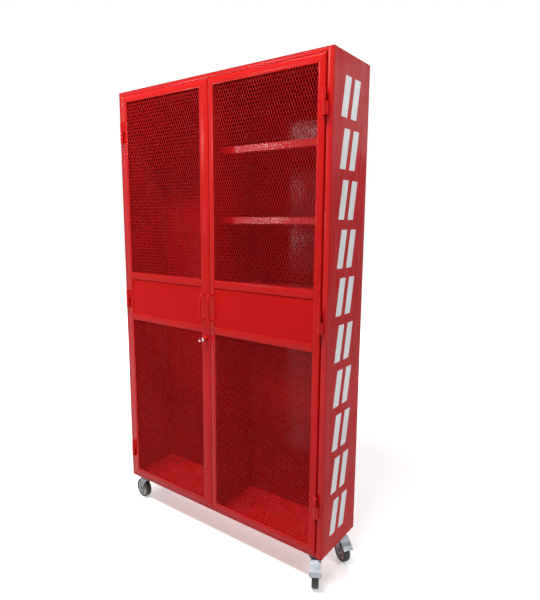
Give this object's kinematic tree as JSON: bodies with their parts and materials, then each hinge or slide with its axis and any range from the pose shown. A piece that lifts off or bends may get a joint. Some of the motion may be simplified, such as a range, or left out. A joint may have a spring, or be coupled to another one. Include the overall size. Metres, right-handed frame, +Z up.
{
  "type": "emergency equipment cabinet",
  "caption": "Tall shallow red steel cabinet on swivel casters, with two hinged doors of expanded metal, a central partition, shelves on the right, bar handles and a keyed cam lock.",
  "frame": {"origin": "on the floor, at the middle of the whole object's width, casters and pedals included (the cabinet body's own middle is at X -0.0154), and half way between its back and the key in front", "axes": "+X to the right seen from the front, +Y to the back, +Z up"},
  "size_m": [1.252, 0.3541, 2.135],
  "materials": {
    "body_paint": "gloss red enamel on folded steel sheet",
    "door_paint": "gloss red enamel on welded angle iron",
    "mesh_paint": "gloss red enamel on expanded metal",
    "lock_chrome": "polished chrome plate",
    "lock_zinc": "bright zinc plate",
    "caster_zinc": "bright zinc plate on pressed steel",
    "wheel_core": "moulded, satin",
    "tyre_rubber": "matt black rubber"
  },
  "bodies": {
    "cabinet": {"floor_panel": "body_paint", "top_panel": "body_paint", "back_panel": "body_paint", "left_side_panel": "body_paint", "right_side_panel": "body_paint", "front_left_post": "body_paint", "front_right_post": "body_paint", "front_top_rail": "body_paint", "front_bottom_rail": "body_paint", "partition": "body_paint", "partition_edge_strip": "body_paint", "upper_shelf": "body_paint", "middle_shelf": "body_paint", "lower_shelf": "body_paint", "front_left_caster_plate": "caster_zinc", "front_right_caster_plate": "caster_zinc", "rear_left_caster_plate": "caster_zinc", "rear_right_caster_plate": "caster_zinc"},
    "left_door": {"left_door_hinge_stile": "door_paint", "left_door_meeting_stile": "door_paint", "left_door_top_rail": "door_paint", "left_door_bottom_rail": "door_paint", "left_door_lower_mid_rail": "door_paint", "left_door_upper_mid_rail": "door_paint", "left_door_middle_panel": "door_paint", "left_door_handle": "door_paint", "lock_housing": "door_paint", "left_door_lower_mesh": "mesh_paint", "left_door_upper_mesh": "mesh_paint"},
    "lock": {"lock_plug": "lock_chrome", "lock_cam": "lock_zinc", "key": "lock_chrome"},
    "right_door": {"right_door_hinge_stile": "door_paint", "right_door_meeting_stile": "door_paint", "right_door_top_rail": "door_paint", "right_door_bottom_rail": "door_paint", "right_door_lower_mid_rail": "door_paint", "right_door_upper_mid_rail": "door_paint", "right_door_middle_panel": "door_paint", "right_door_handle": "door_paint", "right_door_lower_mesh": "mesh_paint", "right_door_upper_mesh": "mesh_paint"},
    "front_left_caster": {"front_left_fork": "caster_zinc", "front_left_axle": "caster_zinc"},
    "front_left_wheel": {"front_left_wheel_core": "wheel_core", "front_left_tyre": "tyre_rubber"},
    "front_right_caster": {"front_right_fork": "caster_zinc", "front_right_axle": "caster_zinc"},
    "front_right_wheel": {"front_right_wheel_core": "wheel_core", "front_right_tyre": "tyre_rubber"},
    "front_right_brake": {"front_right_brake_pedal": "caster_zinc"},
    "rear_left_caster": {"rear_left_fork": "caster_zinc", "rear_left_axle": "caster_zinc"},
    "rear_left_wheel": {"rear_left_wheel_core": "wheel_core", "rear_left_tyre": "tyre_rubber"},
    "rear_right_caster": {"rear_right_fork": "caster_zinc", "rear_right_axle": "caster_zinc"},
    "rear_right_wheel": {"rear_right_wheel_core": "wheel_core", "rear_right_tyre": "tyre_rubber"},
    "rear_right_brake": {"rear_right_brake_pedal": "caster_zinc"}
  },
  "joints": [
    {"name": "left_door_hinge", "type": "hinge", "parent": "cabinet", "child": "left_door", "pos_m": [-0.5859, -0.13005, 1.135], "axis": [0, 0, -1], "range_deg": [0, 170]},
    {"name": "right_door_hinge", "type": "hinge", "parent": "cabinet", "child": "right_door", "pos_m": [0.5551, -0.13005, 1.135], "axis": [0, 0, 1], "range_deg": [0, 170]},
    {"name": "lock_turn", "type": "hinge", "parent": "left_door", "child": "lock", "pos_m": [-0.0404, -0.13005, 0.986], "axis": [0, 1, 0], "range_deg": [0, 90]},
    {"name": "front_left_swivel", "type": "hinge", "parent": "cabinet", "child": "front_left_caster", "pos_m": [-0.5404, -0.07875, 0.135], "axis": [0, 0, 1], "continuous": true},
    {"name": "front_left_wheel_spin", "type": "hinge", "parent": "front_left_caster", "child": "front_left_wheel", "pos_m": [-0.57514, -0.07448, 0.05], "axis": [-0.1219, -0.9925, 0], "continuous": true},
    {"name": "front_right_swivel", "type": "hinge", "parent": "cabinet", "child": "front_right_caster", "pos_m": [0.5366, -0.07875, 0.135], "axis": [0, 0, 1], "continuous": true},
    {"name": "front_right_wheel_spin", "type": "hinge", "parent": "front_right_caster", "child": "front_right_wheel", "pos_m": [0.5541, -0.10906, 0.05], "axis": [0.866, 0.5, 0], "continuous": true},
    {"name": "front_right_brake_press", "type": "hinge", "parent": "front_right_caster", "child": "front_right_brake", "pos_m": [0.5531, -0.10733, 0.111], "axis": [0.866, 0.5, 0], "range_deg": [0, 10]},
    {"name": "rear_left_swivel", "type": "hinge", "parent": "cabinet", "child": "rear_left_caster", "pos_m": [-0.5404, 0.12525, 0.135], "axis": [0, 0, 1], "continuous": true},
    {"name": "rear_left_wheel_spin", "type": "hinge", "parent": "rear_left_caster", "child": "rear_left_wheel", "pos_m": [-0.57071, 0.14275, 0.05], "axis": [-0.5, -0.866, 0], "continuous": true},
    {"name": "rear_right_swivel", "type": "hinge", "parent": "cabinet", "child": "rear_right_caster", "pos_m": [0.5366, 0.12525, 0.135], "axis": [0, 0, 1], "continuous": true},
    {"name": "rear_right_wheel_spin", "type": "hinge", "parent": "rear_right_caster", "child": "rear_right_wheel", "pos_m": [0.56628, 0.1067, 0.05], "axis": [0.5299, 0.848, 0], "continuous": true},
    {"name": "rear_right_brake_press", "type": "hinge", "parent": "rear_right_caster", "child": "rear_right_brake", "pos_m": [0.56459, 0.10776, 0.111], "axis": [0.5299, 0.848, 0], "range_deg": [0, 10]}
  ]
}
